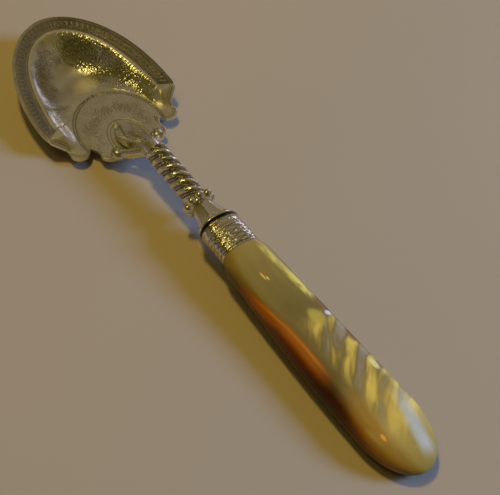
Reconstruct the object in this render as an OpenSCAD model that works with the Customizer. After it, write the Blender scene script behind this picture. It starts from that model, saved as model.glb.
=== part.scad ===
// Jam spoon: an engraved shovel bowl, a cast rope-twist stem, an oval ferrule and a pearl handle.
// It lies as it rests on a table: +X runs from the bowl's tip to the handle's end, +Z is up,
// and the origin is under the middle of its length. All sizes are in millimetres.

/* [Bowl] */
// Length from the tip to the corners where the heel begins
blade_l = 35.8; // [30:0.2:42]
// Greatest width of the bowl
bowl_w = 36.5; // [32:0.5:42]
// Thickness of the metal sheet
sheet_t = 1; // [0.8:0.1:1.4]
// Height of the rim at the tip
tip_h = 9; // [8:0.2:12]
// Height of the rim beside the corners
corner_h = 5.4; // [4.6:0.2:7]
// Height of the flat heel's upper face
heel_h = 2.9; // [2.4:0.1:3.6]
// Width of the level band inside the rim
band_w = 4.2; // [3:0.2:5.4]

/* [Heel] */
// Length of the heel behind the corners
heel_l = 12.2; // [11.5:0.1:14]
// Radius of each side lobe
lobe_r = 2.4; // [1.8:0.05:2.7]
// Distance of a lobe's centre behind the corners
lobe_back = 4.4; // [4:0.1:5]
// Distance of a lobe's centre inside the widest point
lobe_in = 5.8; // [5:0.05:6.2]
// Depth of the notch between lobe and heel, measured in from the widest point
notch_in = 8.65; // [8.2:0.05:9]

/* [Stem] */
// Length of the leaf that lies on the heel
root_l = 11.2; // [9:0.1:12]
// Width of the leaf
leaf_w = 6.2; // [5:0.2:7]
// Thickness of the leaf near its point
leaf_t = 1.1; // [0.8:0.1:1.6]
// Distance between the centres of the two curled feet beside the leaf
foot_span = 11.2; // [10:0.2:12.4]
// Diameter of a curled foot
foot_d = 3; // [2.4:0.1:3.2]
// Length of the plain shank between the heel and the rope
shank_l = 6.4; // [5:0.2:8]
// Diameter of the shank where the rope starts
shank_d = 4.4; // [3.6:0.1:5]
// Length of the rope twist
rope_l = 16.8; // [12:0.4:24]
// Diameter over the rope's strands
rope_d = 5.7; // [4.8:0.1:6]
// Length of one full turn of a strand
rope_lead = 7.9; // [6:0.1:12]
// Number of thick strands, with a thin one between each two
strand_count = 3; // [2:1:4]

/* [Collar] */
// Diameter of the beads in the ring
bead_d = 2.4; // [2:0.1:2.7]
// Number of beads round the ring
bead_count = 8; // [7:1:10]
// Width over the beads
ring_w = 8.4; // [8:0.2:9.4]
// Height over the beads
ring_h = 7.8; // [7.4:0.2:8.4]
// Length of the faceted flare
flare_l = 5.8; // [4:0.2:9]
// Thickness of the flange that the ferrule stands against
flange_t = 0.6; // [0.4:0.1:1]

/* [Ferrule] */
// Length of the ferrule
ferrule_l = 9.2; // [7:0.2:13]
// Width of the ferrule where the handle leaves it
ferrule_w = 9.8; // [9.4:0.1:10.8]
// Height of the ferrule where the handle leaves it
ferrule_h = 6.3; // [5.8:0.1:7]
// Width over the rolled rim in front
rim_w = 10.1; // [9.6:0.1:11.2]
// Height over the rolled rim in front
rim_h = 7.6; // [7:0.1:8.4]
// Length of the rolled rim
rim_l = 1.5; // [1:0.1:2.2]
// Wall of the ferrule at its thinnest
wall_t = 0.45; // [0.3:0.05:0.6]

/* [Handle] */
// Length of the handle that shows
handle_l = 63.8; // [50:0.2:80]
// Width just behind the ferrule
front_w = 11.8; // [11:0.1:13]
// Width near the far end
end_w = 15.4; // [13.5:0.1:17]
// Thickness of the handle
handle_t = 6.9; // [6.6:0.1:8]
// Length of the rounded far end
end_l = 13; // [10:0.5:18]
// Length over which the handle swells out of the ferrule
shoulder_l = 4; // [3:0.5:7]
// Sag of the handle's middle below a straight line
sag = 0.8; // [0:0.1:0.8]
// Length of the tang inside the ferrule and handle
tang_l = 30; // [20:1:40]
// Diameter of the tang
tang_d = 2.8; // [2.4:0.1:3]
// Slope of the handle down from the bowl, in degrees
tilt = 3; // [2:0.25:4]

/* [Fits] */
// Gap between the tang and its hole, filled with cement
cement_gap = 0.15; // [0.1:0.05:0.3]
// Gap between the ferrule and the handle's spigot
spigot_gap = 0.05; // [0.03:0.01:0.1]

/* [Hidden] */
$fn = 48;

silver = [0.78, 0.77, 0.72];
pearl = [0.62, 0.55, 0.34];

// Bowl: derived places, measured from the tip
half_w = bowl_w / 2;
bowl_l = blade_l + heel_l;
corner_run = 3.8;          // from the widest point back to the corners
corner_in = 0.6;           // the corners lie this far inside the widest point
wide_x = blade_l - corner_run;
middle_x = blade_l - 11.8; // centre that the outline is drawn from
shelf_w = 20;              // the level shelf under the leaf: its width and length
shelf_l = 12.5;
shelf_x = blade_l + 2.2;   // the shelf is widest here
step_back = 2.4;           // the step between corner and lobe
step_in = 3.3;
notch_back = 4.9;
ear_run = 3.4;             // length of the heel's rounded back
ear_in = 9.4;              // the ears lie this far inside the widest point
waist_in = 9.5;            // the heel's side between notch and ear
tip_power = 2.2;           // bluntness of the outline along the spoon
side_power = 1.88;         // fullness of the outline across the spoon
rise_power = 1.2;          // how quickly the rim climbs towards the tip
drop_lead = 1;             // the rim starts to drop this far before the corners
drop_l = 4.8;              // and reaches the heel over this length
wall_power = 1.35;         // roundness of the dish where floor meets wall
dish_rings = [0.14, 0.28, 0.4, 0.51, 0.61, 0.71, 0.81, 0.91, 1];
floor_share = dish_rings[2]; // the dish's floor reaches this far towards the band
low_x = middle_x - (middle_x - band_w) * floor_share; // lowest place of the dish

// Stem: places along the sloping axis, measured from the start of the rope
apex_x = bowl_l - root_l;
foot_x = bowl_l - 1.7;     // the curled feet stand this near the heel's edge
rope_x = bowl_l + shank_l;
shank_r = shank_d / 2;
ring_at = rope_l + bead_d / 2;
flare_at = rope_l + bead_d - 0.2;
flange_at = flare_at + flare_l;
ferrule_at = flange_at + flange_t;
handle_at = ferrule_at + ferrule_l;
end_at = handle_at + handle_l - end_l;
flange_in = 0.25;          // the flange's edge lies this far inside the ferrule's rim
mouth_in = 0.35;           // and the flare's mouth this far, where it runs into the flange
spigot_w = ferrule_w - 2 * wall_t - 1;
spigot_h = ferrule_h - 2 * wall_t;

// The handle's far end touches the table; its axis there and the whole length follow from that
end_h = sqrt(pow(end_l * sin(tilt), 2) + pow(handle_t / 2 * cos(tilt), 2));
end_reach = sqrt(pow(end_l * cos(tilt), 2) + pow(handle_t / 2 * sin(tilt), 2));
rope_z = end_h + end_at * sin(tilt);
total_l = rope_x + end_at * cos(tilt) + end_reach;

function lerp(a, b, t) = a + (b - a) * t;
function clamp01(t) = min(1, max(0, t));
function ease(t) = let (c = clamp01(t)) c * c * (3 - 2 * c);
function spow(v, p) = sign(v) * pow(abs(v), p);

// Superellipse through the half sizes a and b; a power of 2 is an ellipse, more is squarer
function oval(a, b, power, n) = [for (i = [0:n - 1]) let (t = 360 * i / n)
    [a * spow(cos(t), 2 / power), b * spow(sin(t), 2 / power)]];

// Sections of equal point count, stacked in a row and closed at both ends
module loft(sections) {
    n = len(sections[0]);
    m = len(sections);
    points = [for (s = sections) each s];
    sides = [for (i = [0:m - 2], k = [0:n - 1]) let (a = i * n + k, b = i * n + (k + 1) % n)
        each [[a, a + n, b + n], [a, b + n, b]]];
    first = [for (k = [1:n - 2]) [0, k, k + 1]];
    last = [for (k = [1:n - 2]) [(m - 1) * n, (m - 1) * n + k + 1, (m - 1) * n + k]];
    polyhedron(points, concat(first, sides, last));
}

// Places a child, drawn along +X from the rope's start, on the spoon's sloping axis
module on_axis() {
    translate([rope_x - total_l / 2, 0, rope_z]) rotate([0, tilt, 0]) children();
}

// Height of the rim's upper face along the spoon
function rim_height(x) = x < wide_x
    ? corner_h + (tip_h - corner_h) * pow((wide_x - x) / wide_x, rise_power)
    : corner_h - (corner_h - heel_h) * ease((x - blade_l + drop_lead) / drop_l);

// Height of the dish's floor; it touches the table under low_x and is level from the shelf back
function floor_height(x) = sheet_t + (heel_h - sheet_t) * (x < low_x
    ? 0.4 * ease((low_x - x) / low_x)
    : ease((x - low_x) / (shelf_x - shelf_l - low_x)));

// Half widths of the blade and of the level shelf along the spoon
function blade_half(x) = half_w * pow(1 - pow(1 - min(1, x / wide_x), tip_power), 1 / side_power);
function shelf_half(x) = shelf_w / 2 * sqrt(1 - pow(clamp01((shelf_x - x) / shelf_l), 2));

// One side of the bowl's outline, from the back of the heel round to the tip
lobe = [blade_l + lobe_back, half_w - lobe_in];
heel_back = [for (t = [0:15:90]) [bowl_l - ear_run * (1 - cos(t)), (half_w - ear_in) * sin(t)]];
heel_side = [[bowl_l - ear_run - 2, half_w - waist_in], [blade_l + notch_back, half_w - notch_in]];
lobe_arc = [for (t = [-60:24:108]) lobe + lobe_r * [cos(t), sin(t)]];
corner = [[blade_l + step_back, half_w - step_in], [blade_l, half_w - corner_in],
    [blade_l - corner_run / 2, half_w - corner_in / 6]];
blade = [for (t = [90:-5:0])
    [wide_x * (1 - pow(cos(t), 2 / tip_power)), half_w * pow(sin(t), 2 / side_power)]];
half_outline = concat(heel_back, heel_side, lobe_arc, corner, blade);
last_half = len(half_outline) - 1;
outline = concat(half_outline, [for (i = [last_half - 1:-1:1]) [half_outline[i][0], -half_outline[i][1]]]);

// Share of the outline's reach at which the level band begins
function band_share(p) = 1 - band_w / norm(p - [middle_x, 0]);

// Upper face at the share u of the way from the outline's centre to its point p
function dish_point(p, u) = let (
    x = lerp(middle_x, p[0], u),
    y = p[1] * u,
    share = x < middle_x ? u / band_share(p)
        : (abs(y) - shelf_half(x)) / (blade_half(x) - band_w - shelf_half(x)),
    level = floor_share * (1 - ease((x - middle_x) / shelf_l)),
    climb = (1 - cos(180 * pow(clamp01((share - level) / (1 - level)), wall_power))) / 2
) [x, y, lerp(floor_height(x), rim_height(x), climb)];

// Bowl: one sheet, dished inside a level band, with a lobed heel
module bowl() {
    n = len(outline);
    rings = len(dish_rings) + 1;
    top = concat([[middle_x, 0, floor_height(middle_x)]],
        [for (r = dish_rings, p = outline) dish_point(p, r * band_share(p))],
        [for (p = outline) dish_point(p, 1)]);
    count = len(top);
    under = [for (p = top) p - [0, 0, sheet_t]];
    cap = [for (k = [0:n - 1]) let (a = 1 + k, b = 1 + (k + 1) % n)
        each [[0, b, a], [count, count + a, count + b]]];
    faces = [for (j = [0:rings - 2], k = [0:n - 1])
        let (a = 1 + j * n + k, b = 1 + j * n + (k + 1) % n)
        each [[a, b, b + n], [a, b + n, a + n],
            [count + a, count + b + n, count + b], [count + a, count + a + n, count + b + n]]];
    edge = [for (k = [0:n - 1])
        let (a = 1 + (rings - 1) * n + k, b = 1 + (rings - 1) * n + (k + 1) % n)
        each [[a, b, count + b], [a, count + b, count + a]]];
    color(silver) translate([-total_l / 2, 0, 0]) polyhedron(concat(top, under), concat(cap, faces, edge));
}

// Leaf and shank: one section at the share t of the way from the leaf's point to the rope
root_run = rope_x + 0.4 - apex_x;
heel_share = root_l / root_run;
crown_t = 0.6;             // the leaf's ridge stands this far over its edges
sink = 0.4;                // leaf and arms are drawn this far into the heel, then cut level with it
function root_section(t) = let (
    leaf_half = leaf_w / 2 * sin(180 * pow(clamp01(t / (heel_share * 1.45)), 0.72)),
    half = max(0.12, leaf_half, lerp(0, shank_r, ease(t / heel_share))),
    height = lerp(leaf_t, rope_z + shank_r - heel_h, pow(ease(t), 1.35)),
    side = min(height, crown_t * ease(t * 6)),
    flat = [[half, -sink], [half, (height - side) * 0.5], [half, height - side],
        [half * 0.5, height - side * 0.6],
        [0, height], [-half * 0.5, height - side * 0.6], [-half, height - side],
        [-half, (height - side) * 0.5], [-half, -sink], [0, -sink]],
    angles = [-50, -15, 20, 55, 90, 125, 160, 195, 230, 270],
    roundness = ease((t - heel_share) / (1 - heel_share)),
    x = lerp(apex_x, rope_x + 0.4, t)
) [for (i = [0:9]) [x, lerp(flat[i][0], shank_r * cos(angles[i]), roundness),
    lerp(heel_h + flat[i][1], rope_z + shank_r * sin(angles[i]), roundness)]];

// Straight arm from a curled foot on the heel in to the shank
arm_w = 2.4;
arm_end = rope_x - 1.2;
function arm_section(t) = let (
    x = lerp(foot_x, arm_end, t),
    y = foot_span / 2 * (1 - t),
    low = lerp(heel_h - sink, rope_z - shank_r, ease((x - bowl_l) / (arm_end - bowl_l))),
    top = lerp(heel_h + foot_d * 0.7, rope_z + shank_r * 0.3, t),
    run = [arm_end - foot_x, -foot_span / 2] / norm([arm_end - foot_x, foot_span / 2]),
    across = [-run[1], run[0]] * arm_w / 2
) [for (c = [[1, low], [1, top - 0.5], [0.5, top], [-0.5, top], [-1, top - 0.5], [-1, low]])
    [x + across[0] * c[0], y + across[1] * c[0], c[1]]];

// Leaf on the heel with a curled foot on each side, running up into the plain shank
module root() {
    shares = concat([for (i = [0:8]) heel_share * i / 8], [for (i = [1:6]) lerp(heel_share, 1, i / 6)]);
    translate([-total_l / 2, 0, 0]) difference() {
        union() {
            loft([for (t = shares) root_section(t)]);
            for (side = [0, 1]) mirror([0, side, 0]) {
                loft([for (t = [0:0.125:1]) arm_section(t)]);
                translate([foot_x, foot_span / 2, heel_h + foot_d * 0.25]) sphere(d = foot_d, $fn = 16);
            }
        }
        translate([apex_x - 1, -bowl_w / 2, heel_h - foot_d]) cube([root_run + 2, bowl_w, foot_d]);
    }
}

// Rope: thick strands with a thin one in each groove, turned left-handed
thick_share = 0.7;         // share of the pitch angle that a thick strand takes
groove_r = rope_d / 2 - 0.75;
thin_r = rope_d / 2 - 0.35;
function strand_radius(a) = let (
    pitch = 360 / strand_count,
    off = abs((a % pitch) - pitch / 2),
    thick = pitch * thick_share / 2,
    thin = pitch * (1 - thick_share) / 2
) off < thick ? groove_r + (rope_d / 2 - groove_r) * sqrt(1 - pow(off / thick, 2))
    : groove_r + (thin_r - groove_r) * sqrt(1 - pow((pitch / 2 - off) / thin, 2));

module rope() {
    steps = 12 * strand_count;
    profile = [for (i = [0:steps - 1]) let (a = 360 * (i + 0.01) / steps) strand_radius(a) * [cos(a), sin(a)]];
    rotate([90, 0, 90]) linear_extrude(height = rope_l, twist = 360 * rope_l / rope_lead, slices = ceil(rope_l * 1.8))
        polygon(profile);
}

// Ring of beads round an oval disc
module bead_ring() {
    a = (ring_w - bead_d) / 2;
    b = (ring_h - bead_d) / 2;
    for (i = [0:bead_count - 1]) let (t = 360 * i / bead_count)
        translate([ring_at, a * cos(t), b * sin(t)]) sphere(d = bead_d, $fn = 14);
    translate([rope_l - 0.1, 0, 0]) rotate([0, 90, 0]) scale([b / a, 1, 1])
        cylinder(r = a, h = bead_d, $fn = 32);
}

// Eight-sided flare between the beads and the flange
module flare() {
    sides = 8;
    neck_in = 0.3;         // the neck lies this far inside the beads' middles
    neck = [(ring_w - bead_d) / 2 - neck_in, (ring_h - bead_d) / 2 - neck_in];
    mouth = [rim_w / 2 - mouth_in, rim_h / 2 - mouth_in];
    run = flare_l + flange_t / 2;
    loft([for (t = [0:0.2:1.01])
        let (s = pow(min(1, t), 1.6), a = lerp(neck[0], mouth[0], s), b = lerp(neck[1], mouth[1], s))
        [for (i = [0:sides - 1]) let (q = 360 * (i + 0.5) / sides) [flare_at + t * run, a * cos(q), b * sin(q)]]]);
}

// Stem: leaf, shank, rope, beads, flare, flange and the tang inside the handle, cast in one
module stem() {
    color(silver) {
        root();
        on_axis() {
            rope();
            bead_ring();
            flare();
            translate([flange_at, 0, 0]) rotate([0, 90, 0]) scale([(rim_h - 2 * flange_in) / (rim_w - 2 * flange_in), 1, 1])
                cylinder(r = rim_w / 2 - flange_in, h = flange_t);
            translate([flange_at, 0, 0]) rotate([0, 90, 0]) cylinder(d = tang_d, h = flange_t + tang_l, $fn = 24);
        }
    }
}

// Ferrule: an oval sleeve with a rolled rim, a plain band, a groove and a body
rim_r = rim_l / 2;
band_l = 1.3;
groove_l = 0.25;
groove_t = 0.15;
rim_proud = 0.3;           // the rolled rim stands this far out of the body
band_proud = 0.12;
ferrule_profile = concat(
    [for (t = [180:-30:0]) [rim_r * (1 + cos(t)), rim_proud * sin(t)]],
    [[rim_l + 0.15, band_proud], [rim_l + band_l, band_proud],
     [rim_l + band_l + groove_l / 2, band_proud - groove_t], [rim_l + band_l + groove_l, band_proud],
     [ferrule_l - 0.3, 0], [ferrule_l, -0.08]]);

module ferrule() {
    body = [for (p = ferrule_profile) let (
            t = p[0] / ferrule_l,
            a = lerp(rim_w / 2 - rim_proud, ferrule_w / 2, t) + p[1],
            b = lerp(rim_h / 2 - rim_proud, ferrule_h / 2, t) + p[1])
        [for (q = oval(a, b, lerp(2.1, 2.7, t), 36)) [ferrule_at + p[0], q[0], q[1]]]];
    color(silver) on_axis() difference() {
        loft(body);
        translate([ferrule_at - 1, 0, 0]) rotate([0, 90, 0]) scale([spigot_h / spigot_w, 1, 1])
            cylinder(d = spigot_w, h = ferrule_l + 2);
    }
}

// Handle: a flattened pearl grip with a spigot for the ferrule and a hole for the tang
body_l = handle_l - end_l;
function end_share(x) = sqrt(max(0.0004, 1 - pow((x - body_l) / end_l, 2)));
function handle_half(x) = x < shoulder_l
    ? lerp(ferrule_w / 2, front_w / 2, sin(90 * x / shoulder_l))
    : x < body_l ? lerp(front_w / 2, end_w / 2, sin(90 * (x - shoulder_l) / (body_l - shoulder_l)))
        : end_w / 2 * end_share(x);
function handle_rise(x) = x < shoulder_l
    ? lerp(ferrule_h / 2, handle_t / 2, sin(90 * x / shoulder_l))
    : x < body_l ? handle_t / 2 : handle_t / 2 * end_share(x);
function handle_drop(x) = x < body_l ? sag * sin(180 * x / body_l) : 0;

module handle() {
    stations = concat([for (t = [0:0.2:1.01]) shoulder_l * (1 - cos(90 * min(1, t)))],
        [for (i = [1:7]) lerp(shoulder_l, body_l, i / 7)],
        [for (t = [12:13:90]) handle_l - end_l * (1 - sin(t))]);
    grip = [for (x = stations) [for (q = oval(handle_half(x), handle_rise(x), 2.5, 36))
        [handle_at + x, q[0], q[1] - handle_drop(x)]]];
    spigot_front = ferrule_at + 0.1;
    color(pearl) on_axis() difference() {
        union() {
            loft(grip);
            translate([spigot_front, 0, 0]) rotate([0, 90, 0])
                scale([(spigot_h - 2 * spigot_gap) / (spigot_w - 2 * spigot_gap), 1, 1])
                    cylinder(d = spigot_w - 2 * spigot_gap, h = ferrule_l + 1);
        }
        translate([spigot_front - 1, 0, 0]) rotate([0, 90, 0])
            cylinder(d = tang_d + 2 * cement_gap, h = tang_l + 1.5);
    }
}

bowl();
stem();
ferrule();
handle();
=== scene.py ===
"""Jam spoon: an engraved silver bowl, a cast rope stem, an oval ferrule and a mother-of-pearl handle."""

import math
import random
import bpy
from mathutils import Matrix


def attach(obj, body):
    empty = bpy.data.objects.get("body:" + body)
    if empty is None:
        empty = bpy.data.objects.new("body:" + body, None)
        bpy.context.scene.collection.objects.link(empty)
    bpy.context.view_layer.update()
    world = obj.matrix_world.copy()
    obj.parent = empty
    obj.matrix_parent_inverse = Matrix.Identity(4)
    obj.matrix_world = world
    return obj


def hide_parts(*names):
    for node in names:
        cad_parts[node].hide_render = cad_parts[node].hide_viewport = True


bl_info = {
    "name": "Jam Spoon",
    "version": (1, 0, 0),
    "blender": (4, 5, 0),
    "location": "View3D > Sidebar > Jam Spoon",
    "description": "Builds a jam spoon with an engraved silver bowl, a rope stem and a pearl handle",
    "category": "Add Mesh",
}

import bmesh
import bpy
import numpy as np
from bpy.props import FloatProperty, FloatVectorProperty, IntProperty, PointerProperty
from mathutils import Matrix, Vector

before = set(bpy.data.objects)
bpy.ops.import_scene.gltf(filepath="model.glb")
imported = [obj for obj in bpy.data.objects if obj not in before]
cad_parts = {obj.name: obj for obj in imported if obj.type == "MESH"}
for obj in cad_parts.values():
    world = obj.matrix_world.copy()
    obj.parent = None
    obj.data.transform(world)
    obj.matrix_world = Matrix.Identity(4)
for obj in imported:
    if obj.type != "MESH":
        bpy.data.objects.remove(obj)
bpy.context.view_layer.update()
MM = 0.001

# Powers of the blade's outline; half width and length of the shelf's rounded front
ALONG_POWER, ACROSS_POWER = 2.2, 1.88
SHELF_HALF, SHELF_L = 10, 12.5

# Ovals of the engraving, in millimetres from the tip: middle, half length, half width
ARCH = (39.0, 13.6, 11.1)
HALO = (43.0, 7.2, 4.9)
FEATHERS = (41.5, 7.4, 5.4)

SILVER_DARK = (0.78, 0.75, 0.69)
SILVER_LIGHT = (0.90, 0.88, 0.83)
# Dark colours the cut attribute blends toward: patina in the engraved cuts, and painted shade on the bowl's
# band and lip, the leaf's foot, the rope's strands and the ferrule's rolled rim
BOWL_DIRT_AND_SHADE = (0.06, 0.045, 0.03)
ROPE_DIRT_AND_SHADE = (0.07, 0.055, 0.04)
FERRULE_DIRT_AND_SHADE = (0.03, 0.026, 0.022)

# Sockets of a mix node that mixes colours
MIX_SHARE, MIX_A, MIX_B, MIX_COLOUR = 0, 6, 7, 2

# Small marks in the shell, the bright ones painted glints: place along and across the handle, half sizes,
# colour
PEARL_MARKS_AND_GLINTS = (
    ((0.15, 0.04), (0.022, 0.05), (0.55, 0.36, 0.06)),
    ((0.165, 0.12), (0.012, 0.04), (0.60, 0.42, 0.10)),
    ((0.33, 0.95), (0.05, 0.24), (0.12, 0.05, 0.006)),
    ((0.49, 1.0), (0.045, 0.22), (0.12, 0.05, 0.006)),
    ((0.378, 0.50), (0.05, 0.26), (0.36, 0.28, 0.05)),
    ((0.377, 0.86), (0.014, 0.10), (0.50, 0.46, 0.48)),
    ((0.62, 0.86), (0.03, 0.10), (0.60, 0.50, 0.18)),
    ((0.852, -0.33), (0.018, 0.05), (0.70, 0.32, 0.03)),
)

# The room: way of a patch, cosines where it starts and is full, colour
ROOM_COLOUR = (0.20, 0.158, 0.098)
ROOM = (
    ((0, 0, -1), -0.30, -0.05, (0.06, 0.05, 0.035)),
    ((0.6, -0.5, 0.6), 0.55, 0.88, (0.07, 0.055, 0.012)),
    ((0.27, 0.39, 0.88), 0.86, 0.98, (0.15, 0.115, 0.03)),
    ((-0.5, -0.34, 0.8), 0.73, 0.90, (0.085, 0.065, 0.008)),
    ((-0.5, 0.85, 0.0), 0.955, 0.99, (1.5, 1.5, 1.85)),
    ((-0.36, 0.0, 0.93), 0.988, 0.996, (1.6, 1.2, 0.4)),
    ((-0.16, -0.33, 0.93), 0.987, 0.996, (4.6, 3.7, 1.1)),
)

# Lamps: place in metres, size, colour
WARM_LAMP = ((-0.33, 0.03, 0.94), 0.13, (1.0, 0.75, 0.18))
COOL_LAMP = ((0.54, 0.69, 0.49), 0.30, (0.29, 0.49, 1.0))

# Camera: place in metres, the way it looks, turn and roll in degrees, lens and sensor in millimetres
CAMERA_PLACE = (0.150477, -0.10656, 0.21979)
CAMERA_AHEAD = (-0.4986, 0.3938, -0.7722)
CAMERA_TURN, CAMERA_ROLL = 51.699, 3.403
CAMERA_LENS, CAMERA_SENSOR = 89.98, 36


def length(name, default, description):
    """A size in metres, given in millimetres."""
    return FloatProperty(name=name, default=default * MM, unit="LENGTH", precision=5, description=description)


def tint(name, default, description):
    """A colour."""
    return FloatVectorProperty(name=name, default=default, size=3, min=0, max=1, subtype="COLOR",
                               description=description)


class SpoonBowl(bpy.types.PropertyGroup):
    """Sizes of the bowl and of its engraving."""

    blade: length("Blade", 35.8, "From the tip to the corners where the heel begins")
    heel: length("Heel", 12.2, "Length of the heel behind the corners")
    width: length("Width", 36.5, "Greatest width of the bowl")
    sheet: length("Sheet", 1.0, "Thickness of the metal sheet")
    tip_height: length("Tip Height", 9.0, "Height of the rim at the tip")
    corner_height: length("Corner Height", 5.4, "Height of the rim beside the corners")
    heel_height: length("Heel Height", 2.9, "Height of the flat heel's upper face")
    band: length("Band", 4.2, "Width of the level band inside the rim")
    cut_depth: length("Cut Depth", 0.07, "Depth of the engraved cuts")
    spokes: IntProperty(name="Spokes", default=720, min=64, description="Faces round the bowl's edge")


class SpoonStem(bpy.types.PropertyGroup):
    """Sizes of the stem."""

    rope: length("Rope", 16.8, "Length of the rope twist")
    rope_width: length("Rope Width", 5.7, "Diameter over the strands")
    lead: length("Lead", 7.9, "Length of one full turn of a strand")
    strands: IntProperty(name="Strands", default=3, min=2, max=5, description="Number of thick strands")
    bead: length("Bead", 2.4, "Diameter of the beads in the ring")
    beads: IntProperty(name="Beads", default=8, min=6, max=12, description="Number of beads round the ring")
    flare: length("Flare", 5.8, "Length of the eight-sided flare")


class SpoonHandle(bpy.types.PropertyGroup):
    """Sizes and colours of the pearl handle."""

    front: length("Front Width", 11.8, "Width just behind the ferrule")
    end: length("End Width", 15.4, "Width near the far end")
    thickness: length("Thickness", 6.9, "Thickness of the handle")
    shows: length("Length", 63.8, "Length of the handle that shows")
    pearl: tint("Pearl", (0.135, 0.098, 0.026), "Colour of the middle of the shell")
    amber: tint("Amber", (0.30, 0.085, 0.004), "Colour of the warm band in the shell")
    bark: tint("Bark", (0.08, 0.018, 0.0015), "Colour of the dark edge of the shell")


class SpoonStage(bpy.types.PropertyGroup):
    """Floor and lamps."""

    floor: tint("Floor", (0.302, 0.25, 0.19), "Colour of the floor")
    warm_power: FloatProperty(name="Warm Lamp", default=5.8, min=0, unit="POWER",
                              description="Power of the warm lamp in watts")
    cool_power: FloatProperty(name="Cool Lamp", default=15.0, min=0, unit="POWER",
                              description="Power of the cool lamp in watts")


def mix(a, b, t):
    """From a to b as t goes from 0 to 1."""
    return a + (b - a) * t


def ease(t):
    """Soft step from 0 to 1."""
    t = np.clip(t, 0, 1)
    return t * t * (3 - 2 * t)


def power(v, p):
    """Power that keeps the sign, for rounded oblongs."""
    return np.sign(v) * np.abs(v) ** p


def lathe(profile, around):
    """Grid rolled round the X axis from a line of (x, radius) points that starts and ends on the axis."""
    seam = 1e-5
    rows = len(profile) - 1
    bm = bmesh.new()
    bmesh.ops.create_grid(bm, x_segments=rows, y_segments=around, size=1)
    for v in bm.verts:
        x, r = profile[round((v.co.x + 1) / 2 * rows)]
        a = math.pi * (v.co.y + 1)
        v.co = (x, r * math.cos(a), r * math.sin(a))
    bmesh.ops.remove_doubles(bm, verts=bm.verts, dist=seam)
    return bm


def capped(stations):
    """Profile of radius 1 through the stations, closed at both ends."""
    return [(stations[0], 0)] + [(x, 1) for x in stations] + [(stations[-1], 0)]


def piece(bm, name, shape, smooth=True):
    """Object from a bmesh in millimetres; shape turns its (x, y, z) rows into new ones."""
    mesh = bpy.data.meshes.new(name)
    bm.to_mesh(mesh)
    bm.free()
    co = np.empty(len(mesh.vertices) * 3)
    mesh.vertices.foreach_get("co", co)
    co = co.reshape(-1, 3)
    co, extra = shape(co)
    mesh.vertices.foreach_set("co", (co * MM).ravel())
    for key, values in extra.items():
        mesh.attributes.new(key, "FLOAT", "POINT").data.foreach_set("value", values.astype(np.float32))
    mesh.update()
    bm = bmesh.new()
    bm.from_mesh(mesh)
    bmesh.ops.recalc_face_normals(bm, faces=bm.faces)
    bm.to_mesh(mesh)
    bm.free()
    mesh.polygons.foreach_set("use_smooth", [smooth] * len(mesh.polygons))
    obj = bpy.data.objects.new(name, mesh)
    bpy.context.collection.objects.link(obj)
    return obj


def seat(obj, node, material):
    """Finish a piece: it stands for its CAD node, which it hides, rides on the root body and takes its
    material.
    """
    obj.data.materials.append(material)
    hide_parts(node)
    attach(obj, "root")


def cast(bm, name, shape, metal, smooth=True):
    """Finish a piece of the stem."""
    seat(piece(bm, name, shape, smooth), "stem", metal)


class Measures:
    """Places along the spoon in millimetres, measured from the bowl's tip."""

    def __init__(self, scene):
        b, s, h = scene.spoon_bowl, scene.spoon_stem, scene.spoon_handle
        self.blade, self.heel, self.half = b.blade / MM, b.heel / MM, b.width / MM / 2
        self.sheet, self.tip_h, self.corner_h = b.sheet / MM, b.tip_height / MM, b.corner_height / MM
        self.heel_h, self.band, self.depth = b.heel_height / MM, b.band / MM, b.cut_depth / MM
        self.bowl = self.blade + self.heel
        self.wide = self.blade - 3.8
        self.middle = self.blade - 11.8
        self.low = self.middle - (self.middle - self.band) * 0.4
        self.shelf = self.blade + 2.2
        self.lean = 0.45
        self.tilt = math.radians(3)
        self.leaf_l, self.shank = 11.2, 2.2
        self.foot_x, self.foot_y = self.bowl - 1.7, 5.6
        self.rope, self.rope_d, self.lead = s.rope / MM, s.rope_width / MM, s.lead / MM
        self.strands, self.bead, self.beads = s.strands, s.bead / MM, s.beads
        self.flare_at, self.flare = self.rope + self.bead - 0.2, s.flare / MM
        self.flange_at = self.flare_at + self.flare
        self.flange, self.ferrule = 0.6, 9.2
        self.ferrule_at = self.flange_at + self.flange
        self.handle_at = self.ferrule_at + self.ferrule
        self.shows, self.shoulder, self.end_l = h.shows / MM, 4.0, 13.0
        self.front, self.end, self.thick = h.front / MM / 2, h.end / MM / 2, h.thickness / MM / 2
        end_at = self.handle_at + self.shows - self.end_l
        high = math.hypot(self.end_l * math.sin(self.tilt), self.thick * math.cos(self.tilt))
        reach = math.hypot(self.end_l * math.cos(self.tilt), self.thick * math.sin(self.tilt))
        self.rope_x = self.bowl + 6.4
        self.rope_z = high + end_at * math.sin(self.tilt)
        self.total = self.rope_x + end_at * math.cos(self.tilt) + reach

    def on_axis(self, co):
        """From places along the rope's axis to the row frame."""
        c, s = math.cos(self.tilt), math.sin(self.tilt)
        x, y, z = co.T
        return np.stack([c * x + s * z + self.rope_x - self.total / 2, y, c * z - s * x + self.rope_z], 1)

    def from_tip(self, co):
        """From places measured from the tip to the row frame."""
        return co - [self.total / 2, 0, 0]


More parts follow.
